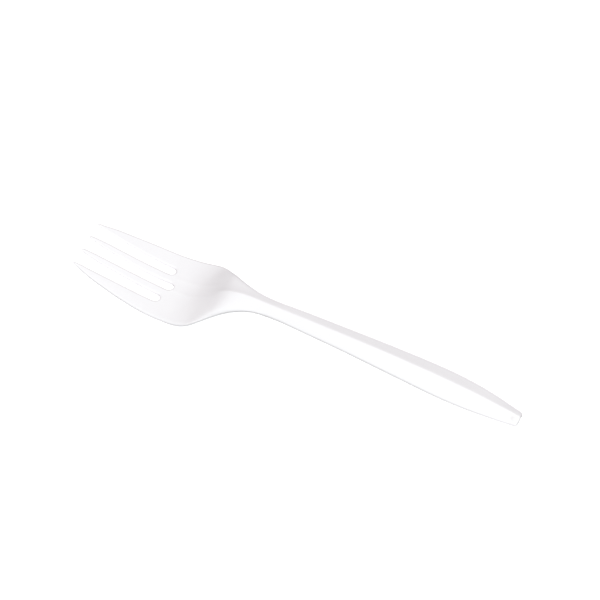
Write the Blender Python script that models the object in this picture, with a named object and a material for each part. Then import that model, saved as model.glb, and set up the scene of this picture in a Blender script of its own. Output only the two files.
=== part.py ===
"""A one-piece moulded plastic table fork, lying at rest with its hollow side down.

World frame, metres: +X from the tines to the end of the handle, +Y across, +Z up.
The origin is under the middle of the fork, on the surface it lies on.

The fork is one thin sheet.  Its flat plan (outline, four tines, three round-ended slots) is a
grid whose rows and columns follow the outline.  The plan is mirrored, given its wall thickness
as a shell, and then every point is raised to the height of the fork's upper or lower skin:
tines that curve up, a shallow bowl with a steep back wall, and a handle with a roof-shaped
section that is hollow underneath.
"""

import math

import bmesh
import bpy
import numpy as np
from mathutils import Matrix

MM = 0.001

# ---------------------------------------------------------------- driving dimensions, millimetres
X_TIP_OUTER = 0.3         # stations along the fork start just ahead of its outer tips
X_TIP_INNER = 0.45        # the two inner tines end a little behind the outer ones
X_END = 151.9             # end of the handle: the fork is 151.6 long
X_SLOT_MIDDLE = 31.65     # bottom of the middle slot
X_SLOT_OUTER = 29.7       # bottom of each outer slot
X_WEB = 36.0              # past the slots the grid lines only follow the outline
TIP_ROUND = 1.8           # length of a tine's pointed tip
TIP_POWER = 1.6           # 1 is a straight-sided point, 2 a round one
END_ROUND = 1.6           # length over which the handle's end is rounded
END_POWER = 3.4           # 2 is an ellipse, more is squarer

# outline: station along the fork, half width, height of the upper skin at the edge
RAIL = (
    (0.0, 8.65, 8.20),
    (2.5, 9.32, 7.40),
    (5.0, 9.98, 6.70),
    (10.0, 10.90, 5.35),
    (15.0, 11.60, 4.10),
    (20.0, 12.20, 3.00),
    (28.0, 12.80, 1.60),
    (33.0, 13.02, 1.50),
    (38.0, 13.20, 2.00),
    (42.0, 12.86, 3.42),
    (45.0, 11.82, 5.05),
    (48.0, 10.15, 6.60),
    (51.0, 8.35, 8.10),
    (54.0, 6.60, 9.20),
    (57.0, 5.25, 9.90),
    (60.0, 4.20, 10.33),
    (64.0, 3.47, 10.50),
    (69.0, 3.26, 10.45),
    (74.0, 3.45, 10.25),
    (82.0, 3.80, 9.65),
    (90.0, 4.08, 9.00),
    (98.0, 4.45, 8.25),
    (106.0, 4.82, 7.40),
    (114.0, 5.13, 6.50),
    (124.0, 5.42, 5.25),
    (134.0, 5.12, 3.90),
    (143.0, 4.08, 2.50),
    (149.0, 3.05, 1.38),
    (152.0, 2.55, 0.92),
)

# middle line of the upper skin: up the back wall of the bowl, then along the ridge of the handle
BACK = (
    (34.0, 1.40),
    (37.0, 1.72),
    (40.0, 2.78),
    (43.0, 4.70),
    (46.0, 7.15),
    (49.0, 9.64),
    (52.0, 11.44),
    (55.0, 12.46),
    (58.0, 12.66),
    (64.0, 12.30),
    (74.0, 11.85),
    (90.0, 11.05),
    (106.0, 9.90),
    (122.0, 8.25),
    (137.0, 5.95),
    (152.0, 2.42),
)
# fullness of the two shoulders beside the middle line, where the back wall turns into the neck
SHOULDER = (
    (36.0, 0.0),
    (40.0, -0.12),
    (43.0, -0.30),
    (46.0, 0.25),
    (48.0, 0.80),
    (50.0, 1.10),
    (52.0, 1.00),
    (54.0, 0.75),
    (57.0, 0.36),
    (62.0, 0.0),
)
SHOULDER_POWER = 8.0      # the higher, the closer to its edge a shoulder drops off
X_FLAT = 33.0             # the bowl's floor is level from here to the foot of the back wall
FLOOR = 1.40              # height of the upper skin on the floor: the wall thickness there
TINE_SLOPE = 0.318        # slope that the tines approach
TINE_BEND = 14.0          # length over which they bend up to it

# slot edges: station, half width of the middle slot, inner and outer edge of an outer slot
SLOTS = (
    (2.0, 2.22, 3.42, 8.10),
    (6.0, 1.95, 3.75, 7.90),
    (12.0, 1.74, 3.90, 7.65),
    (20.0, 1.56, 4.05, 7.47),
    (28.0, 1.60, 4.13, 7.44),
    (36.0, 1.90, 4.20, 7.50),
)

# wall thickness measured square to the skin
WALL = ((0.0, 0.85), (8.0, 1.20), (24.0, 1.40), (46.0, 1.40), (60.0, 1.30), (72.0, 1.02), (80.0, 0.98), (152.0, 0.95))
EDGE_RADIUS = 0.26        # rounding of every edge
RIDGE_RADIUS = 0.30       # rounding of the ridge along the handle
NECK_RADIUS = 0.90        # and where it runs out into the back wall
DISH_POWER = 2.2          # the bowl's sides rise with this power of the distance from the middle
REST = 0.08               # the lowest part of the bowl's underside is levelled off this high up
RIB_HEIGHT = 0.07         # two low ribs run on from the inner tines into the bowl
RIB_HALF = 0.95

# grid
TINE_ROWS = 12
WEB_ROWS = 6
BODY_ROWS = 50
COLUMNS = (2, 4, 4, 6)    # middle slot, inner tine, outer slot, outer tine
ROUND_ROWS = 1            # rows or columns across an edge rounding


# ---------------------------------------------------------------- curves
def cubic(points, start_slope=None):
    """Natural cubic through the points, or with a given slope at its start; returns a function."""
    x = np.array([p[0] for p in points])
    y = np.array([p[1] for p in points])
    n = len(x)
    h = np.diff(x)
    a = np.zeros((n, n))
    b = np.zeros(n)
    a[0, 0] = a[-1, -1] = 1.0
    if start_slope is not None:
        a[0, 0], a[0, 1] = 2 * h[0], h[0]
        b[0] = 6 * ((y[1] - y[0]) / h[0] - start_slope)
    for i in range(1, n - 1):
        a[i, i - 1 : i + 2] = h[i - 1], 2 * (h[i - 1] + h[i]), h[i]
        b[i] = 6 * ((y[i + 1] - y[i]) / h[i] - (y[i] - y[i - 1]) / h[i - 1])
    m = np.linalg.solve(a, b)

    def at(t):
        t = np.asarray(t, float)
        i = np.clip(np.searchsorted(x, t) - 1, 0, n - 2)
        u, v, s = x[i + 1] - t, t - x[i], h[i]
        return (
            m[i] * u**3 / (6 * s)
            + m[i + 1] * v**3 / (6 * s)
            + (y[i] / s - m[i] * s / 6) * u
            + (y[i + 1] / s - m[i + 1] * s / 6) * v
        )

    return at


def smooth(low, high, x):
    t = np.clip((np.asarray(x, float) - low) / (high - low), 0.0, 1.0)
    return t * t * (3 - 2 * t)


half_width = cubic([(p[0], p[1]) for p in RAIL])
edge_height = cubic([(p[0], p[2]) for p in RAIL])
back_line = cubic(BACK, start_slope=0.0)
shoulder_curve = cubic(SHOULDER)
slot_a, slot_b, slot_c = (cubic([(p[0], p[n]) for p in SLOTS]) for n in (1, 2, 3))


def middle_height(x):
    run = np.maximum(X_FLAT - x, 0.0)
    tines = FLOOR + TINE_SLOPE * (np.sqrt(run**2 + TINE_BEND**2) - TINE_BEND)
    return np.where(x < BACK[0][0], tines, back_line(x))


def wall(x):
    return np.interp(x, [p[0] for p in WALL], [p[1] for p in WALL])


def middle_skin(x, y):
    """Height of the sheet's upper skin before its edges are rounded, and its slope across."""
    w, ze, zm = half_width(x), edge_height(x), middle_height(x)
    y = np.abs(y)
    u = np.clip(y / w, 0.0, 1.0)
    soft = RIDGE_RADIUS + (NECK_RADIUS - RIDGE_RADIUS) * (1 - smooth(45.0, 53.0, x))
    crest = np.sqrt(w**2 + soft**2) - soft
    roof = (np.sqrt(y**2 + soft**2) - soft) / crest
    turn = smooth(43.0, 49.0, x)
    across = (ze - zm) * smooth(42.0, 56.0, x) * y / np.sqrt(y**2 + soft**2) / crest
    inside = (x > SHOULDER[0][0]) & (x < SHOULDER[-1][0])
    full = np.where(inside, shoulder_curve(x), 0.0) * u * (1 - u**SHOULDER_POWER)
    return zm + (ze - zm) * ((1 - turn) * u**DISH_POWER + turn * roof) + full, across


# ---------------------------------------------------------------- the flat plan
def rounded_steps(n, radius):
    """Distances from an edge that divide its rounding evenly."""
    return [radius * (1 - math.cos(math.pi / 2 * i / n)) for i in range(n + 1)]


def strip(y0, y1, n, lower_edge, upper_edge):
    """Points across a strip from y0 to y1, closer together where an edge is rounded."""
    r = min(EDGE_RADIUS, 0.45 * (y1 - y0))
    low = [y0 + s for s in rounded_steps(ROUND_ROWS, r)] if lower_edge else [y0]
    high = [y1 - s for s in reversed(rounded_steps(ROUND_ROWS, r))] if upper_edge else [y1]
    inner = n - (len(low) - 1) - (len(high) - 1)
    between = [low[-1] + (high[0] - low[-1]) * i / inner for i in range(1, inner)]
    return low + between + high


def boundaries(x):
    """Grid lines that part the four strips, at a distance x from the tips."""
    w = float(half_width(x))
    g = min(max(x, SLOTS[0][0]), X_WEB)
    wg = float(half_width(g))
    scale = w / wg if x > X_WEB else 1.0
    return [float(f(g)) * scale for f in (slot_a, slot_b, slot_c)] + [w]


FIRST = [0]
for n_columns in COLUMNS:
    FIRST.append(FIRST[-1] + n_columns)
HALF_COLUMNS = FIRST[-1]


def columns(x):
    """Distances from the middle line of all grid lines at x."""
    a, b, c, w = boundaries(x)
    out = [a * i / COLUMNS[0] for i in range(COLUMNS[0])]
    out += strip(a, b, COLUMNS[1], True, True)[:-1]
    out += [b + (c - b) * i / COLUMNS[2] for i in range(COLUMNS[2])]
    out += strip(c, w, COLUMNS[3], True, True)
    return out


def slot_start(k):
    """Distance from the tips at which grid line k leaves the slots, and its place across there."""
    ra = float(slot_a(X_SLOT_MIDDLE - 1.6))
    xa = X_SLOT_MIDDLE - ra
    b, c = float(slot_b(X_SLOT_OUTER - 1.6)), float(slot_c(X_SLOT_OUTER - 1.6))
    rc = (c - b) / 2
    xc = X_SLOT_OUTER - rc
    if k <= FIRST[1]:
        turn = math.pi / 2 * k / COLUMNS[0]
        return xa + ra * math.cos(turn), float(slot_a(xa)) * math.sin(turn)
    if k < FIRST[2]:
        x = xa + (xc - xa) * (k - FIRST[1]) / COLUMNS[1]
        return x, columns(x)[k]
    if k <= FIRST[3]:
        turn = math.pi * (k - FIRST[2]) / COLUMNS[2] - math.pi / 2
        low, high = float(slot_b(xc)), float(slot_c(xc))
        return xc + rc * math.cos(turn), (low + high) / 2 + (high - low) / 2 * math.sin(turn)
    return xc, columns(xc)[k]


def tine_of(k):
    """First and last grid line of the tine that k lies on, and the station of its tip."""
    if k <= FIRST[2]:
        return FIRST[1], FIRST[2], X_TIP_INNER
    return FIRST[3], FIRST[4], X_TIP_OUTER


def tip(k):
    """The end of grid line k on the pointed tip of its tine."""
    first, last, x0 = tine_of(k)
    line = columns(x0 + TIP_ROUND)
    across = 2 * (line[k] - line[first]) / (line[last] - line[first]) - 1
    return x0 + TIP_ROUND * abs(across) ** TIP_POWER, line[k]


def tine_steps():
    low = [s / 30.0 for s in rounded_steps(ROUND_ROWS, EDGE_RADIUS)]
    rest = TINE_ROWS - len(low) + 1
    return low + [low[-1] + (1 - low[-1]) * (i / rest) ** 1.25 for i in range(1, rest + 1)]


def web_steps():
    low = [s / 5.0 for s in rounded_steps(ROUND_ROWS, EDGE_RADIUS)]
    rest = WEB_ROWS - len(low) + 1
    return low + [low[-1] + (1 - low[-1]) * i / rest for i in range(1, rest + 1)]


def body_steps():
    """Rows from the web to the end of the handle, closer together up the back wall and at the end."""
    high = [X_END - s for s in reversed(rounded_steps(ROUND_ROWS, EDGE_RADIUS))]
    rest = BODY_ROWS - len(high) + 1
    fine = lambda x: 1.0 + 1.6 * smooth(36, 40, x) * (1 - smooth(56, 70, x)) + 1.4 * smooth(136, 146, x)
    xs = np.linspace(X_WEB, high[0], 2001)
    total = np.concatenate([[0], np.cumsum((fine(xs[1:]) + fine(xs[:-1])) / 2 * np.diff(xs))])
    even = np.linspace(0, total[-1], rest + 1)
    return np.interp(even, total, xs).tolist() + high[1:]


def plan(i, k):
    """Place in the flat plan of row i on grid line k."""
    if i < TINE_ROWS:
        (x0, y0), x1 = tip(k), slot_start(k)[0]
        x = x0 + (x1 - x0) * TINE_STEPS[i]
        ready = tine_of(k)[2] + TIP_ROUND
        return x, columns(x)[k] if x > ready else y0
    if i < TINE_ROWS + WEB_ROWS:
        v = WEB_STEPS[i - TINE_ROWS]
        x0, y0 = slot_start(k)
        x = x0 + (X_WEB - x0) * v
        ease = min(1.0, v * 1.6)
        return x, (1 - ease) * (y0 + (columns(x)[k] - columns(x0)[k])) + ease * columns(x)[k]
    x = BODY_STEPS[i - TINE_ROWS - WEB_ROWS]
    late = float(smooth(X_END - 14.0, X_END, x))
    u = columns(x)[k] / float(half_width(x))
    x -= late * END_ROUND * (1 - max(0.0, 1 - u**END_POWER) ** (1 / END_POWER))
    return x, columns(x)[k]


TINE_STEPS, WEB_STEPS, BODY_STEPS = tine_steps(), web_steps(), body_steps()
ROWS = TINE_ROWS + WEB_ROWS + BODY_ROWS


def edge_distance(points, segments):
    """Distance in the plan from each point to the nearest outline segment."""
    best = np.full(len(points), 1e9)
    for p, q in segments:
        d = q - p
        t = np.clip(((points - p) @ d) / max(float(d @ d), 1e-12), 0.0, 1.0)
        best = np.minimum(best, np.hypot(*(points - p - t[:, None] * d).T))
    return best


def fork_mesh():
    bm = bmesh.new()
    bmesh.ops.create_grid(bm, x_segments=ROWS, y_segments=HALF_COLUMNS, size=1.0)
    place = {}
    for v in bm.verts:
        i = round((v.co.x + 1) / 2 * ROWS)
        k = round((v.co.y + 1) / 2 * HALF_COLUMNS)
        place[v] = (i, k)
    open_strips = [(0, FIRST[1]), (FIRST[2], FIRST[3])]
    slots = []
    for f in bm.faces:
        i = min(place[v][0] for v in f.verts)
        k = min(place[v][1] for v in f.verts)
        if i < TINE_ROWS and any(a <= k < b for a, b in open_strips):
            slots.append(f)
    for v, (i, k) in place.items():
        in_slot = i < TINE_ROWS and (k < FIRST[1] or FIRST[2] < k < FIRST[3])
        if not in_slot:
            x, y = plan(i, k)
            v.co = (x, y, 0.0)
    bmesh.ops.delete(bm, geom=slots, context="FACES")
    loose = [v for v in bm.verts if not v.link_faces]
    bmesh.ops.delete(bm, geom=loose, context="VERTS")

    # the other half, welded along the middle line
    bmesh.ops.mirror(bm, geom=bm.verts[:] + bm.edges[:] + bm.faces[:], matrix=Matrix.Identity(4), merge_dist=1e-4, axis="Y")
    bmesh.ops.recalc_face_normals(bm, faces=bm.faces[:])
    if bm.faces[0].normal.z < 0:
        bmesh.ops.reverse_faces(bm, faces=bm.faces[:])
    outline = [
        (np.array(e.verts[0].co.xy), np.array(e.verts[1].co.xy)) for e in bm.edges if e.is_boundary
    ]

    # the shell: the upper skin stays at 0, the lower one goes to -1 until both are shaped
    bmesh.ops.solidify(bm, geom=bm.faces[:], thickness=1.0)
    level = np.array([v.co.z for v in bm.verts])
    upper = level > (level.min() + level.max()) / 2
    xy = np.array([v.co.xy for v in bm.verts])
    x, y = xy[:, 0], xy[:, 1]
    skin, across = middle_skin(x, y)
    half = wall(x) / 2
    slant = np.sqrt(1 + across**2)
    d = np.minimum(edge_distance(xy, outline), EDGE_RADIUS)
    cut = EDGE_RADIUS - np.sqrt(np.maximum(EDGE_RADIUS**2 - (EDGE_RADIUS - d) ** 2, 0.0))
    cut = np.minimum(cut, half - 0.06)
    centre = skin - half * slant
    reach = half * slant - cut
    line = (slot_a(np.minimum(x, X_WEB)) + slot_b(np.minimum(x, X_WEB))) / 2
    rib = RIB_HEIGHT * np.exp(-(((np.abs(y) - line) / RIB_HALF) ** 2) * 2) * smooth(29, 32, x) * (1 - smooth(38, 43, x))
    under = centre - reach
    under = np.maximum(under, under.min() + REST)
    z = np.where(upper, centre + reach + rib, under)
    z = z - under.min()
    for v, px, py, pz in zip(bm.verts, x, y, z):
        v.co = ((px - (X_TIP_OUTER + X_END) / 2) * MM, py * MM, pz * MM)
    bmesh.ops.recalc_face_normals(bm, faces=bm.faces[:])
    mesh = bpy.data.meshes.new("fork")
    bm.to_mesh(mesh)
    bm.free()
    mesh.shade_smooth()
    mesh.set_sharp_from_angle(angle=math.radians(40))
    return mesh


def plastic():
    mat = bpy.data.materials.new("white_plastic")
    mat.use_nodes = True
    shader = mat.node_tree.nodes["Principled BSDF"]
    shader.inputs["Base Color"].default_value = (0.90, 0.895, 0.90, 1.0)
    shader.inputs["Roughness"].default_value = 0.28
    shader.inputs["Metallic"].default_value = 0.0
    return mat


def main():
    for obj in list(bpy.data.objects):
        bpy.data.objects.remove(obj, do_unlink=True)
    parts = bpy.data.collections.new("plastic_fork")
    bpy.context.scene.collection.children.link(parts)
    mesh = fork_mesh()
    mesh.materials.append(plastic())
    fork = bpy.data.objects.new("fork", mesh)
    parts.objects.link(fork)


main()
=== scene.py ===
"""Looks of a one-piece moulded plastic fork, lying hollow side down on a pale floor.

The fork is rebuilt here as a fine skin from the same outline, curves and slots as its solid, with
round edges, the low ribs that run on from the inner tines, and small moulding marks.  Everything is
in metres in the row frame: +X from the tines to the end of the handle, +Y across, +Z up.
"""

import functools
import math

import bmesh
import bpy
import numpy as np
from mathutils import Matrix, Vector


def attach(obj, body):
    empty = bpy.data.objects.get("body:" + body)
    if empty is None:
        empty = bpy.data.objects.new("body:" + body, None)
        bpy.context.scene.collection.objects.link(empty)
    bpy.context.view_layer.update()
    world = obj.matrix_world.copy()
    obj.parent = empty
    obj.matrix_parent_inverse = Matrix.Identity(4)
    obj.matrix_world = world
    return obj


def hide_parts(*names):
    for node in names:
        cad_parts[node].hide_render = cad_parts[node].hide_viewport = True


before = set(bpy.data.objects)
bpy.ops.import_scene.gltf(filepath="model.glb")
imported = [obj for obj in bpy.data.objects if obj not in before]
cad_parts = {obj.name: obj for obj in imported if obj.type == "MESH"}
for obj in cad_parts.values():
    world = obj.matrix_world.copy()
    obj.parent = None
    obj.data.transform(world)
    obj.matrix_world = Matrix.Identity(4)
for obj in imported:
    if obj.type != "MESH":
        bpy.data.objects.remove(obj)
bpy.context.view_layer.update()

MM = 0.001

# ---------------------------------------------------------------- driving dimensions, millimetres
X_TIP_OUTER = 0.3         # stations along the fork start just ahead of its outer tips
X_TIP_INNER = 0.30        # all four tines end level
X_END = 151.9             # end of the handle
X_SLOT_MIDDLE = 31.65     # bottom of the middle slot
X_SLOT_OUTER = 29.7       # bottom of each outer slot
X_WEB = 36.0              # past the slots the grid lines only follow the outline
TIP_ROUND = 1.8           # length of a tine's pointed tip
TIP_POWER = 2.3           # 1 is a straight-sided point, 2 a round one
END_ROUND = 1.1           # length over which the handle's end is rounded
END_POWER = 3.0           # 2 is an ellipse, more is squarer

# outline: station along the fork, half width, height of the upper skin at the edge
RAIL = (
    (0.0, 8.65, 8.20),
    (2.5, 9.32, 7.40),
    (5.0, 9.98, 6.70),
    (10.0, 10.90, 5.35),
    (15.0, 11.60, 4.10),
    (20.0, 12.20, 3.00),
    (28.0, 12.80, 1.60),
    (33.0, 13.02, 1.50),
    (38.0, 13.20, 2.00),
    (42.0, 12.86, 3.42),
    (45.0, 11.82, 5.05),
    (48.0, 10.15, 6.60),
    (51.0, 8.35, 8.10),
    (54.0, 6.60, 9.20),
    (57.0, 5.25, 9.90),
    (60.0, 4.20, 10.33),
    (64.0, 3.47, 10.50),
    (69.0, 3.26, 10.45),
    (74.0, 3.45, 10.25),
    (82.0, 3.80, 9.65),
    (90.0, 4.08, 9.00),
    (98.0, 4.45, 8.25),
    (106.0, 4.82, 7.40),
    (114.0, 5.13, 6.50),
    (124.0, 5.42, 5.25),
    (134.0, 5.12, 3.90),
    (143.0, 4.08, 2.50),
    (149.0, 3.05, 1.38),
    (152.0, 2.55, 0.92),
)

# middle line of the upper skin: up the back wall of the bowl, then along the ridge of the handle
BACK = (
    (34.0, 1.40),
    (37.0, 1.72),
    (40.0, 2.78),
    (43.0, 4.70),
    (46.0, 7.04),
    (49.0, 9.68),
    (52.0, 11.64),
    (55.0, 12.50),
    (58.0, 12.64),
    (64.0, 12.30),
    (74.0, 11.85),
    (90.0, 11.05),
    (106.0, 9.90),
    (122.0, 8.25),
    (137.0, 5.95),
    (152.0, 2.42),
)
# fullness of the two shoulders beside the middle line, where the back wall turns into the neck
SHOULDER = (
    (36.0, 0.0),
    (40.0, -0.12),
    (43.0, -0.34),
    (46.0, 0.28),
    (48.0, 0.88),
    (50.0, 1.18),
    (52.0, 1.03),
    (54.0, 0.78),
    (57.0, 0.40),
    (63.0, 0.0),
)
X_FLAT = 33.0             # the bowl's floor is level from here to the foot of the back wall
FLOOR = 1.40              # height of the upper skin on the floor: the wall thickness there
TINE_SLOPE = 0.318        # slope that the tines approach
TINE_BEND = 14.0          # length over which they bend up to it

# slot edges: station, half width of the middle slot, inner and outer edge of an outer slot
SLOTS = (
    (2.0, 2.12, 3.52, 8.00),
    (6.0, 1.84, 3.86, 7.79),
    (12.0, 1.62, 4.02, 7.53),
    (20.0, 1.44, 4.17, 7.35),
    (28.0, 1.48, 4.25, 7.32),
    (36.0, 1.78, 4.32, 7.38),
)

# wall thickness measured square to the skin
WALL = ((0.0, 0.85), (8.0, 1.20), (24.0, 1.40), (46.0, 1.40), (60.0, 1.30), (72.0, 1.02), (80.0, 0.98), (152.0, 0.95))
# rounding of an edge's upper half: station, across and down on the near side, the same on the far side
TOP_ROUND = (
    (0.0, 0.40, 0.30, 0.16, 0.12),
    (12.0, 0.60, 0.42, 0.16, 0.12),
    (28.0, 0.85, 0.50, 0.18, 0.14),
    (40.0, 1.10, 0.52, 0.24, 0.18),
    (46.0, 0.95, 0.44, 0.32, 0.24),
    (51.0, 0.42, 0.26, 0.36, 0.26),
    (55.0, 0.28, 0.19, 0.36, 0.26),
    (60.0, 0.30, 0.21, 0.36, 0.27),
    (66.0, 0.42, 0.36, 0.42, 0.36),
    (138.0, 0.45, 0.36, 0.45, 0.36),
    (147.0, 0.48, 0.36, 0.30, 0.20),
    (152.0, 0.42, 0.30, 0.20, 0.12),
)
LOW_ROUND = (0.26, 0.42)  # and of its lower half: across, up
REST = 0.08               # the lowest part of the bowl's underside is levelled off this high up
UNDERCUT = 0.40           # at the neck the edge's face leans in towards its lower side
EDGE_SHADE = (0.20, 0.45)  # painted shade along the far-facing edges of the tines and bowl and along the handle's end, fading out between these distances
RIDGE_RADIUS = 0.30       # rounding of the ridge along the handle
NECK_RADIUS = 0.90        # and where it runs out into the back wall
RIDGE_LEAN = 0.15         # the ridge lies this far to the near side of the middle line
NECK_LEAN = 0.36          # and this much more at the neck
RIB_HEIGHT = 0.08         # two low ribs run on from the inner tines into the bowl
RIB_HALF = 1.1
# where they run: station, place across of the far and of the near one
RIBS = ((30.0, 3.75, -1.10), (36.0, 3.85, -1.20), (42.0, 3.40, -1.60), (48.0, 3.00, -2.20))
ROLL = (0.02, 0.20)       # far and near outer tine are rolled down by this much along their inner edges

# grid
TINE_ROWS = 64
WEB_ROWS = 20
BODY_ROWS = 190
COLUMNS = (8, 20, 12, 28)  # middle slot, inner tine, outer slot, outer tine
ROUND_ROWS = 8             # rows or columns across an edge rounding
EDGE = 0.9                 # they lie closer together up to here from an edge


# ---------------------------------------------------------------- curves
def cubic(points, start_slope=None):
    """Natural cubic through the points, or with a given slope at its start; returns a function."""
    x = np.array([p[0] for p in points])
    y = np.array([p[1] for p in points])
    n = len(x)
    h = np.diff(x)
    a = np.zeros((n, n))
    b = np.zeros(n)
    a[0, 0] = a[-1, -1] = 1.0
    if start_slope is not None:
        a[0, 0], a[0, 1] = 2 * h[0], h[0]
        b[0] = 6 * ((y[1] - y[0]) / h[0] - start_slope)
    for i in range(1, n - 1):
        a[i, i - 1 : i + 2] = h[i - 1], 2 * (h[i - 1] + h[i]), h[i]
        b[i] = 6 * ((y[i + 1] - y[i]) / h[i] - (y[i] - y[i - 1]) / h[i - 1])
    m = np.linalg.solve(a, b)

    def at(t):
        t = np.asarray(t, float)
        i = np.clip(np.searchsorted(x, t) - 1, 0, n - 2)
        u, v, s = x[i + 1] - t, t - x[i], h[i]
        return (
            m[i] * u**3 / (6 * s)
            + m[i + 1] * v**3 / (6 * s)
            + (y[i] / s - m[i] * s / 6) * u
            + (y[i + 1] / s - m[i + 1] * s / 6) * v
        )

    return at


def smooth(low, high, x):
    t = np.clip((np.asarray(x, float) - low) / (high - low), 0.0, 1.0)
    return t * t * (3 - 2 * t)


half_width = cubic([(p[0], p[1]) for p in RAIL])
edge_height = cubic([(p[0], p[2]) for p in RAIL])
back_line = cubic(BACK, start_slope=0.0)
shoulder_curve = cubic(SHOULDER)
slot_a, slot_b, slot_c = (cubic([(p[0], p[n]) for p in SLOTS]) for n in (1, 2, 3))


def middle_height(x):
    run = np.maximum(X_FLAT - x, 0.0)
    tines = FLOOR + TINE_SLOPE * (np.sqrt(run**2 + TINE_BEND**2) - TINE_BEND)
    return np.where(x < BACK[0][0], tines, back_line(x))


def wall(x):
    return np.interp(x, [p[0] for p in WALL], [p[1] for p in WALL])


def middle_skin(x, y):
    """Height of the sheet's upper skin before its edges are rounded, and its slope across."""
    w, ze, zm = half_width(x), edge_height(x), middle_height(x)
    lean = RIDGE_LEAN * smooth(44.0, 52.0, x) + NECK_LEAN * np.exp(-(((x - 53.5) / 4.0) ** 2))
    y = np.abs(y + lean * (1 - np.clip(y / w, -1.0, 1.0) ** 2))
    u = np.clip(y / w, 0.0, 1.0)
    soft = RIDGE_RADIUS + (NECK_RADIUS - RIDGE_RADIUS) * (1 - smooth(43.0, 50.0, x))
    crest = np.sqrt(w**2 + soft**2) - soft
    roof = (np.sqrt(y**2 + soft**2) - soft) / crest
    turn = smooth(43.0, 49.0, x)
    across = (ze - zm) * smooth(42.0, 56.0, x) * y / np.sqrt(y**2 + soft**2) / crest
    full = np.where((x > SHOULDER[0][0]) & (x < SHOULDER[-1][0]), shoulder_curve(x), 0.0) * 1.1 * u**1.6 * (1 - u**8)
    return zm + (ze - zm) * ((1 - turn) * u**2.2 + turn * roof) + full, across


# ---------------------------------------------------------------- the flat plan
def rounded_steps(n, radius):
    """Distances from an edge that divide its rounding evenly."""
    return [radius * (1 - math.cos(math.pi / 2 * i / n)) for i in range(n + 1)]


def strip(y0, y1, n):
    """Points across a strip from y0 to y1, closer together where its two edges are rounded."""
    r = min(EDGE, 0.45 * (y1 - y0))
    low = [y0 + s for s in rounded_steps(ROUND_ROWS, r)]
    high = [y1 - s for s in reversed(rounded_steps(ROUND_ROWS, r))]
    inner = n - (len(low) - 1) - (len(high) - 1)
    between = [low[-1] + (high[0] - low[-1]) * i / inner for i in range(1, inner)]
    return low + between + high


def boundaries(x):
    """Grid lines that part the four strips, at a distance x from the tips."""
    w = float(half_width(x))
    g = min(max(x, SLOTS[0][0]), X_WEB)
    wg = float(half_width(g))
    scale = w / wg if x > X_WEB else 1.0
    return [float(f(g)) * scale for f in (slot_a, slot_b, slot_c)] + [w]


FIRST = [0]
for n_columns in COLUMNS:
    FIRST.append(FIRST[-1] + n_columns)
HALF_COLUMNS = FIRST[-1]


@functools.lru_cache(maxsize=None)
def columns(x):
    """Distances from the middle line of all grid lines at x."""
    a, b, c, w = boundaries(x)
    out = [a * i / COLUMNS[0] for i in range(COLUMNS[0])]
    out += strip(a, b, COLUMNS[1])[:-1]
    out += [b + (c - b) * i / COLUMNS[2] for i in range(COLUMNS[2])]
    out += strip(c, w, COLUMNS[3])
    return out


@functools.lru_cache(maxsize=None)
def slot_start(k):
    """Distance from the tips at which grid line k leaves the slots, and its place across there."""
    ra = float(slot_a(X_SLOT_MIDDLE - 1.6))
    xa = X_SLOT_MIDDLE - ra
    b, c = float(slot_b(X_SLOT_OUTER - 1.6)), float(slot_c(X_SLOT_OUTER - 1.6))
    rc = (c - b) / 2
    xc = X_SLOT_OUTER - rc
    if k <= FIRST[1]:
        turn = math.pi / 2 * k / COLUMNS[0]
        return xa + ra * math.cos(turn), float(slot_a(xa)) * math.sin(turn)
    if k < FIRST[2]:
        x = xa + (xc - xa) * (k - FIRST[1]) / COLUMNS[1]
        return x, columns(x)[k]
    if k <= FIRST[3]:
        turn = math.pi * (k - FIRST[2]) / COLUMNS[2] - math.pi / 2
        low, high = float(slot_b(xc)), float(slot_c(xc))
        return xc + rc * math.cos(turn), (low + high) / 2 + (high - low) / 2 * math.sin(turn)
    return xc, columns(xc)[k]


def tine_of(k):
    """First and last grid line of the tine that k lies on, and the station of its tip."""
    if k <= FIRST[2]:
        return FIRST[1], FIRST[2], X_TIP_INNER
    return FIRST[3], FIRST[4], X_TIP_OUTER


@functools.lru_cache(maxsize=None)
def tip(k):
    """The end of grid line k on the pointed tip of its tine."""
    first, last, x0 = tine_of(k)
    line = columns(x0 + TIP_ROUND)
    across = 2 * (line[k] - line[first]) / (line[last] - line[first]) - 1
    return x0 + TIP_ROUND * abs(across) ** TIP_POWER, line[k]


def tine_steps():
    low = [s / 30.0 for s in rounded_steps(ROUND_ROWS, EDGE)]
    rest = TINE_ROWS - len(low) + 1
    return low + [low[-1] + (1 - low[-1]) * (i / rest) ** 1.12 for i in range(1, rest + 1)]


def web_steps():
    low = [s / 5.0 for s in rounded_steps(ROUND_ROWS, EDGE)]
    rest = WEB_ROWS - len(low) + 1
    return low + [low[-1] + (1 - low[-1]) * (i / rest) ** 1.25 for i in range(1, rest + 1)]


def body_steps():
    """Rows from the web to the end of the handle, closer together up the back wall and at the end."""
    high = [X_END - s for s in reversed(rounded_steps(ROUND_ROWS, EDGE))]
    rest = BODY_ROWS - len(high) + 1
    fine = lambda x: 1.0 + 1.4 * smooth(36, 40, x) * (1 - smooth(56, 70, x)) + 1.6 * smooth(140, 147, x)
    xs = np.linspace(X_WEB, high[0], 2001)
    total = np.concatenate([[0], np.cumsum((fine(xs[1:]) + fine(xs[:-1])) / 2 * np.diff(xs))])
    even = np.linspace(0, total[-1], rest + 1)
    return np.interp(even, total, xs).tolist() + high[1:]


TINE_STEPS, WEB_STEPS, BODY_STEPS = tine_steps(), web_steps(), body_steps()
ROWS = TINE_ROWS + WEB_ROWS + BODY_ROWS


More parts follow.
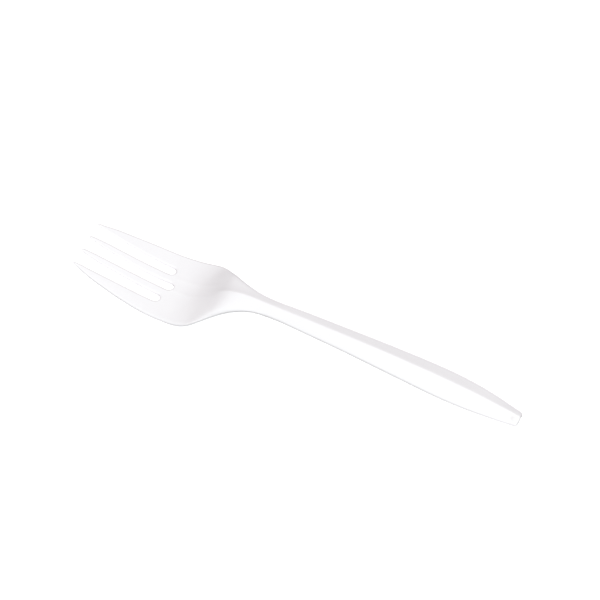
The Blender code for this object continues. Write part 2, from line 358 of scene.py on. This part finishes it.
def plan(i, k):
    """Place in the flat plan of row i on grid line k."""
    if i < TINE_ROWS:
        (x0, y0), x1 = tip(k), slot_start(k)[0]
        x = x0 + (x1 - x0) * TINE_STEPS[i]
        ready = tine_of(k)[2] + TIP_ROUND
        return x, columns(x)[k] if x > ready else y0
    if i < TINE_ROWS + WEB_ROWS:
        v = WEB_STEPS[i - TINE_ROWS]
        x0, y0 = slot_start(k)
        x = x0 + (X_WEB - x0) * v
        ease = min(1.0, v * 1.6)
        return x, (1 - ease) * (y0 + (columns(x)[k] - columns(x0)[k])) + ease * columns(x)[k]
    x = BODY_STEPS[i - TINE_ROWS - WEB_ROWS]
    u = columns(x)[k] / float(half_width(x))
    late = float(smooth(X_END - 14.0, X_END, x))
    back = x - late * END_ROUND * (1 - max(0.0, 1 - u**END_POWER) ** (1 / END_POWER))
    return back, u * float(half_width(back))


def edge_distance(points, segments, reach):
    """Distance in the plan from each point to the nearest outline segment, up to reach, and its side.

    The side is 1 where that part of the outline faces +Y and -1 where it faces -Y.
    """
    best = np.full(len(points), reach)
    side = np.zeros(len(points))
    order = np.argsort(points[:, 0])
    along = points[order, 0]
    for p, q, faces in segments:
        low, high = np.searchsorted(along, (min(p[0], q[0]) - reach, max(p[0], q[0]) + reach))
        near = order[low:high]
        d = q - p
        off = points[near] - p
        t = np.clip((off @ d) / max(float(d @ d), 1e-12), 0.0, 1.0)
        gap = np.hypot(*(off - t[:, None] * d).T)
        closer = gap < best[near]
        best[near] = np.where(closer, gap, best[near])
        side[near] = np.where(closer, faces, side[near])
    return best, side


def rounding(d, across, deep):
    """How far an edge's rounding lies below the full skin at a distance d from the outline."""
    t = np.clip(1 - d / across, 0.0, 1.0)
    return deep * (1 - np.sqrt(np.maximum(1 - t**2, 0.0)))


def marks(x, y):
    """Small things on the upper skin: the ribs, the roll of the outer tines and the gate's stub."""
    out = 0.0
    for n in (1, 2):
        line = np.interp(x, [r[0] for r in RIBS], [r[n] for r in RIBS])
        out = out + RIB_HEIGHT * np.exp(-(((y - line) / RIB_HALF) ** 2) * 2)
    out *= smooth(29, 32, x) * (1 - smooth(44, 50, x))
    inner = slot_c(np.minimum(x, X_WEB))
    share = np.clip((np.abs(y) - inner) / (half_width(x) - inner), 0.0, 1.0)
    out -= np.where(y > 0, ROLL[0], ROLL[1]) * np.clip(1 - share / 0.65, 0.0, 1.0) ** 2 * smooth(1.5, 7.0, x) * (1 - smooth(26.0, 31.5, x)) * (np.abs(y) > inner - 0.3)
    gate = np.hypot(x - 149.7, y + 1.45)
    out += 0.10 * (1 - smooth(0.25, 0.55, gate)) - 0.05 * np.exp(-(((gate - 0.75) / 0.25) ** 2))
    return out


GATE = ((149.7 - (X_TIP_OUTER + X_END) / 2) * MM, -1.45 * MM, 1.7 * MM)


# ---------------------------------------------------------------- the fork's skin
def fork_mesh():
    bm = bmesh.new()
    bmesh.ops.create_grid(bm, x_segments=ROWS, y_segments=HALF_COLUMNS, size=1.0)
    place = {}
    for v in bm.verts:
        i = round((v.co.x + 1) / 2 * ROWS)
        k = round((v.co.y + 1) / 2 * HALF_COLUMNS)
        place[v] = (i, k)
    open_strips = [(0, FIRST[1]), (FIRST[2], FIRST[3])]
    slots = []
    for f in bm.faces:
        i = min(place[v][0] for v in f.verts)
        k = min(place[v][1] for v in f.verts)
        if i < TINE_ROWS and any(a <= k < b for a, b in open_strips):
            slots.append(f)
    for v, (i, k) in place.items():
        in_slot = i < TINE_ROWS and (k < FIRST[1] or FIRST[2] < k < FIRST[3])
        if not in_slot:
            x, y = plan(i, k)
            v.co = (x, y, 0.0)
    bmesh.ops.delete(bm, geom=slots, context="FACES")
    loose = [v for v in bm.verts if not v.link_faces]
    bmesh.ops.delete(bm, geom=loose, context="VERTS")

    # the other half, welded along the middle line
    bmesh.ops.mirror(bm, geom=bm.verts[:] + bm.edges[:] + bm.faces[:], matrix=Matrix.Identity(4), merge_dist=1e-4, axis="Y")
    bmesh.ops.recalc_face_normals(bm, faces=bm.faces[:])
    if bm.faces[0].normal.z < 0:
        bmesh.ops.reverse_faces(bm, faces=bm.faces[:])
    outline = []
    for e in bm.edges:
        if e.is_boundary:
            p, q = np.array(e.verts[0].co.xy), np.array(e.verts[1].co.xy)
            out = np.array([q[1] - p[1], p[0] - q[0]]) / np.hypot(*(q - p))
            inside = np.array(e.link_faces[0].calc_center_median().xy) - (p + q) / 2
            outline.append((p, q, out[1] if out @ inside < 0 else -out[1]))

    # the shell: the upper skin stays at 0, the lower one goes to -1 until both are shaped
    bmesh.ops.solidify(bm, geom=bm.faces[:], thickness=1.0)
    level = np.array([v.co.z for v in bm.verts])
    upper = level > (level.min() + level.max()) / 2
    xy = np.array([v.co.xy for v in bm.verts])
    x, y = xy[:, 0], xy[:, 1]
    skin, across = middle_skin(x, y)
    half = wall(x) / 2
    slant = np.sqrt(1 + across**2)
    d, side = edge_distance(xy, outline, 1.2)
    limit = half * slant
    sizes = [np.interp(x, [r[0] for r in TOP_ROUND], [r[n] for r in TOP_ROUND]) for n in (1, 2, 3, 4)]
    share = (1 + side) / 2
    across_edge, down_edge = (sizes[n] + (sizes[n + 2] - sizes[n]) * share for n in (0, 1))
    top = np.minimum(rounding(d, across_edge, down_edge), limit - 0.05)
    low = np.minimum(rounding(d, *LOW_ROUND), limit - 0.01)
    centre = skin - limit
    lean_in = UNDERCUT * smooth(42.0, 48.0, x) * (1 - smooth(60.0, 68.0, x)) * np.clip(1 - d / 1.2, 0.0, 1.0)
    y = np.where(upper, y, y - np.sign(y) * lean_in)
    under = centre - limit + low
    under = np.maximum(under, under.min() + REST)
    z = np.where(upper, centre + limit - top + marks(x, xy[:, 1]), under)
    z = z - under.min()
    for v, px, py, pz in zip(bm.verts, x, y, z):
        v.co = ((px - (X_TIP_OUTER + X_END) / 2) * MM, py * MM, pz * MM)
    bmesh.ops.recalc_face_normals(bm, faces=bm.faces[:])
    mesh = bpy.data.meshes.new("fork_skin")
    bm.to_mesh(mesh)
    bm.free()
    mesh.shade_smooth()
    # painted shade: the upper skin is darkened near its edges on the far-facing side of the tines and bowl and on the
    # end of the handle, fading out with distance from the edge
    painted_shade = np.where(upper & (d > 1e-4), 1 - smooth(EDGE_SHADE[0], EDGE_SHADE[1], d), 0.0)
    end_shade = smooth(-0.9, -0.4, side) * (1 - smooth(-0.1, 0.3, side)) * smooth(150.0, 151.0, x)
    painted_shade *= smooth(-0.7, 0.3, side) * (1 - smooth(42.0, 48.0, x)) + end_shade
    mesh.attributes.new("painted_edge_shade", "FLOAT", "POINT").data.foreach_set("value", painted_shade.astype(np.float32))
    return mesh


# ---------------------------------------------------------------- material
def node(tree, kind, **values):
    made = tree.nodes.new(kind)
    for key, value in values.items():
        if key in made.inputs:
            made.inputs[key].default_value = value
        else:
            setattr(made, key, value)
    return made


def white_plastic():
    mat = bpy.data.materials.new("white_moulded_plastic")
    mat.use_nodes = True
    tree = mat.node_tree
    link = tree.links.new
    shader = tree.nodes["Principled BSDF"]
    shader.inputs["Metallic"].default_value = 0.0
    shader.inputs["IOR"].default_value = 1.5
    where = node(tree, "ShaderNodeTexCoord")

    # colour: broad faint variation in the plastic, and a few specks of dust
    broad = node(tree, "ShaderNodeTexNoise", Scale=140.0, Detail=2.0, Roughness=0.5)
    link(where.outputs["Object"], broad.inputs["Vector"])
    tone = node(tree, "ShaderNodeValToRGB")
    tone.color_ramp.elements[0].position, tone.color_ramp.elements[1].position = 0.35, 0.65
    tone.color_ramp.elements[0].color = (0.895, 0.887, 0.897, 1.0)
    tone.color_ramp.elements[1].color = (0.905, 0.897, 0.905, 1.0)
    link(broad.outputs["Fac"], tone.inputs["Fac"])
    dots = node(tree, "ShaderNodeTexVoronoi", Scale=170.0, Randomness=1.0)
    link(where.outputs["Object"], dots.inputs["Vector"])
    rare = node(tree, "ShaderNodeSeparateColor")
    link(dots.outputs["Color"], rare.inputs["Color"])
    chosen = node(tree, "ShaderNodeMath", operation="GREATER_THAN")
    chosen.inputs[1].default_value = 0.955
    link(rare.outputs["Red"], chosen.inputs[0])
    small = node(tree, "ShaderNodeMapRange", interpolation_type="SMOOTHSTEP")
    small.inputs["From Min"].default_value, small.inputs["From Max"].default_value = 0.018, 0.035
    small.inputs["To Min"].default_value, small.inputs["To Max"].default_value = 1.0, 0.0
    link(dots.outputs["Distance"], small.inputs["Value"])
    speck = node(tree, "ShaderNodeMath", operation="MULTIPLY")
    link(chosen.outputs[0], speck.inputs[0])
    link(small.outputs["Result"], speck.inputs[1])
    dusted = node(tree, "ShaderNodeMix", data_type="RGBA")
    dusted.inputs["B"].default_value = (0.55, 0.50, 0.47, 1.0)
    link(speck.outputs[0], dusted.inputs["Factor"])
    link(tone.outputs["Color"], dusted.inputs["A"])

    # painted shade: the base colour is darkened along the far-facing edges of the tines and bowl and on the end of
    # the handle
    edge = node(tree, "ShaderNodeAttribute", attribute_name="painted_edge_shade")
    edged = node(tree, "ShaderNodeMix", data_type="RGBA")
    edged.inputs["B"].default_value = (0.66, 0.645, 0.642, 1.0)
    link(edge.outputs["Fac"], edged.inputs["Factor"])
    link(dusted.outputs["Result"], edged.inputs["A"])

    # the gate: a dull spot near the end of the handle where the plastic was let in
    offset = node(tree, "ShaderNodeVectorMath", operation="DISTANCE")
    offset.inputs[1].default_value = GATE
    link(where.outputs["Object"], offset.inputs[0])
    spot = node(tree, "ShaderNodeMapRange", interpolation_type="SMOOTHSTEP")
    spot.inputs["From Min"].default_value, spot.inputs["From Max"].default_value = 0.0003, 0.0022
    spot.inputs["To Min"].default_value, spot.inputs["To Max"].default_value = 1.0, 0.0
    link(offset.outputs["Value"], spot.inputs["Value"])
    gated = node(tree, "ShaderNodeMix", data_type="RGBA")
    gated.inputs["B"].default_value = (0.785, 0.765, 0.765, 1.0)
    link(spot.outputs["Result"], gated.inputs["Factor"])
    link(edged.outputs["Result"], gated.inputs["A"])
    link(gated.outputs["Result"], shader.inputs["Base Color"])

    # gloss: slightly uneven, with fine lengthwise polishing marks of the mould
    stretch = node(tree, "ShaderNodeMapping")
    stretch.inputs["Scale"].default_value = (60.0, 2600.0, 2600.0)
    link(where.outputs["Object"], stretch.inputs["Vector"])
    lines = node(tree, "ShaderNodeTexNoise", Scale=1.0, Detail=3.0, Roughness=0.6)
    link(stretch.outputs["Vector"], lines.inputs["Vector"])
    cloudy = node(tree, "ShaderNodeTexNoise", Scale=420.0, Detail=3.0, Roughness=0.55)
    link(where.outputs["Object"], cloudy.inputs["Vector"])
    both = node(tree, "ShaderNodeMath", operation="ADD")
    link(lines.outputs["Fac"], both.inputs[0])
    link(cloudy.outputs["Fac"], both.inputs[1])
    rough = node(tree, "ShaderNodeMapRange")
    rough.inputs["From Min"].default_value, rough.inputs["From Max"].default_value = 0.6, 1.4
    rough.inputs["To Min"].default_value, rough.inputs["To Max"].default_value = 0.27, 0.33
    link(both.outputs[0], rough.inputs["Value"])
    link(rough.outputs["Result"], shader.inputs["Roughness"])

    # relief: the mould's fine grain, and the slow waviness of thin plastic that shrank as it set
    grain = node(tree, "ShaderNodeTexNoise", Scale=5200.0, Detail=2.0, Roughness=0.6)
    link(where.outputs["Object"], grain.inputs["Vector"])
    wavy = node(tree, "ShaderNodeTexNoise", Scale=230.0, Detail=1.0, Roughness=0.4)
    link(where.outputs["Object"], wavy.inputs["Vector"])
    fine = node(tree, "ShaderNodeBump", Strength=0.35, Distance=0.000004)
    link(grain.outputs["Fac"], fine.inputs["Height"])
    slow = node(tree, "ShaderNodeBump", Strength=0.5, Distance=0.00003)
    link(wavy.outputs["Fac"], slow.inputs["Height"])
    link(fine.outputs["Normal"], slow.inputs["Normal"])
    link(slow.outputs["Normal"], shader.inputs["Normal"])
    return mat


fork = bpy.data.objects.new("fork_body", fork_mesh())
bpy.context.scene.collection.objects.link(fork)
fork.data.materials.append(white_plastic())
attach(fork, "root")
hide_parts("fork")


# ---------------------------------------------------------------- floor, light, camera
def floor():
    bm = bmesh.new()
    bmesh.ops.create_grid(bm, x_segments=8, y_segments=8, size=3.0)
    mesh = bpy.data.meshes.new("floor")
    bm.to_mesh(mesh)
    bm.free()
    made = bpy.data.objects.new("floor", mesh)
    bpy.context.scene.collection.objects.link(made)
    made.location.z = -0.00003
    made.visible_diffuse = False
    made.visible_glossy = False
    mat = bpy.data.materials.new("pale_floor")
    mat.use_nodes = True
    tree = mat.node_tree
    shader = tree.nodes["Principled BSDF"]
    shader.inputs["Base Color"].default_value = (0.95, 0.95, 0.95, 1.0)
    shader.inputs["Roughness"].default_value = 0.9
    shader.inputs["Specular IOR Level"].default_value = 0.0
    shader.inputs["Emission Color"].default_value = (1.0, 1.0, 1.0, 1.0)
    shader.inputs["Emission Strength"].default_value = 0.55
    # seen from underneath, the floor lets the fork through
    side = node(tree, "ShaderNodeNewGeometry")
    clear = node(tree, "ShaderNodeBsdfTransparent")
    mixed = node(tree, "ShaderNodeMixShader")
    tree.links.new(side.outputs["Backfacing"], mixed.inputs["Fac"])
    tree.links.new(shader.outputs["BSDF"], mixed.inputs[1])
    tree.links.new(clear.outputs["BSDF"], mixed.inputs[2])
    tree.links.new(mixed.outputs["Shader"], tree.nodes["Material Output"].inputs["Surface"])
    mesh.materials.append(mat)


def card():
    """A glowing strip under the table top: bright below the tines, dimmer below bowl and handle.

    It only throws light up at the edges and walls above it, as a real white table would.
    """
    bm = bmesh.new()
    bmesh.ops.create_grid(bm, x_segments=1, y_segments=1, size=0.5)
    bmesh.ops.scale(bm, vec=(0.170, 0.0266, 1.0), verts=bm.verts)
    mesh = bpy.data.meshes.new("card")
    bm.to_mesh(mesh)
    bm.free()
    made = bpy.data.objects.new("card", mesh)
    bpy.context.scene.collection.objects.link(made)
    made.location = (0.0, -0.0009, -0.0001)
    made.visible_camera = False
    made.visible_glossy = False
    mat = bpy.data.materials.new("card")
    mat.use_nodes = True
    tree = mat.node_tree
    where = node(tree, "ShaderNodeTexCoord")
    split = node(tree, "ShaderNodeSeparateXYZ")
    tree.links.new(where.outputs["Object"], split.inputs["Vector"])
    along = node(tree, "ShaderNodeMapRange")
    along.inputs["From Min"].default_value, along.inputs["From Max"].default_value = -0.085, 0.085
    tree.links.new(split.outputs["X"], along.inputs["Value"])
    ramp = node(tree, "ShaderNodeValToRGB")
    stops = ramp.color_ramp.elements
    glows = (
        (-0.076, 1.24),
        (-0.066, 0.96),
        (-0.055, 0.82),
        (-0.047, 0.64),
        (-0.040, 0.62),
        (-0.034, 0.36),
        (-0.029, 0.07),
        (-0.012, 0.09),
        (0.002, 0.22),
        (0.042, 0.24),
        (0.056, 0.40),
        (0.067, 0.44),
        (0.076, 0.52),
    )
    while len(stops) < len(glows):
        stops.new(1.0)
    for stop, (x, glow) in zip(stops, glows):
        stop.position = (x + 0.085) / 0.170
        stop.color = (glow, glow * 0.95, glow * 0.99, 1.0)
    tree.links.new(along.outputs["Result"], ramp.inputs["Fac"])
    light = node(tree, "ShaderNodeEmission", Strength=1.4)
    tree.links.new(ramp.outputs["Color"], light.inputs["Color"])
    tree.links.new(light.outputs["Emission"], tree.nodes["Material Output"].inputs["Surface"])
    mesh.materials.append(mat)


def studio():
    """A soft even dome, dimmer from below, and one large soft light on the near right."""
    world = bpy.data.worlds.new("studio")
    bpy.context.scene.world = world
    world.use_nodes = True
    tree = world.node_tree
    back = tree.nodes["Background"]
    where = node(tree, "ShaderNodeTexCoord")
    split = node(tree, "ShaderNodeSeparateXYZ")
    tree.links.new(where.outputs["Generated"], split.inputs["Vector"])
    ramp = node(tree, "ShaderNodeValToRGB")
    ramp.color_ramp.elements[0].position, ramp.color_ramp.elements[1].position = 0.46, 0.54
    ramp.color_ramp.elements[0].color = (0.31, 0.30, 0.305, 1.0)
    ramp.color_ramp.elements[1].color = (0.861, 0.833, 0.845, 1.0)
    half = node(tree, "ShaderNodeMapRange")
    half.inputs["From Min"].default_value = -1.0
    tree.links.new(split.outputs["Z"], half.inputs["Value"])
    tree.links.new(half.outputs["Result"], ramp.inputs["Fac"])
    tree.links.new(ramp.outputs["Color"], back.inputs["Color"])
    back.inputs["Strength"].default_value = 1.0

    data = bpy.data.lights.new("soft_key", "AREA")
    data.shape = "DISK"
    data.size = 0.9
    data.energy = 6.3
    data.color = (0.875, 0.985, 0.975)
    key = bpy.data.objects.new("soft_key", data)
    bpy.context.scene.collection.objects.link(key)
    towards = Vector((0.50, -0.60, 0.62)).normalized()
    key.location = towards * 1.2
    key.rotation_euler = towards.to_track_quat("Z", "Y").to_euler()


def camera():
    turn, rise = math.radians(24.9241), math.radians(53.4913)
    right = Vector((math.cos(turn), math.sin(turn), 0.0))
    back = Vector((math.sin(turn) * math.cos(rise), -math.cos(turn) * math.cos(rise), math.sin(rise)))
    up = back.cross(right)
    data = bpy.data.cameras.new("camera")
    data.sensor_width = 36.0
    data.lens = 144.0
    data.clip_start, data.clip_end = 0.01, 20.0
    made = bpy.data.objects.new("camera", data)
    bpy.context.scene.collection.objects.link(made)
    aim = Vector((-5.778, 13.569, 0.0)) * MM
    made.matrix_world = Matrix.Translation(aim + back * 0.770531) @ Matrix((right, up, back)).transposed().to_4x4()
    bpy.context.scene.camera = made


floor()
card()
studio()
camera()
bpy.context.scene.view_settings.view_transform = "Standard"
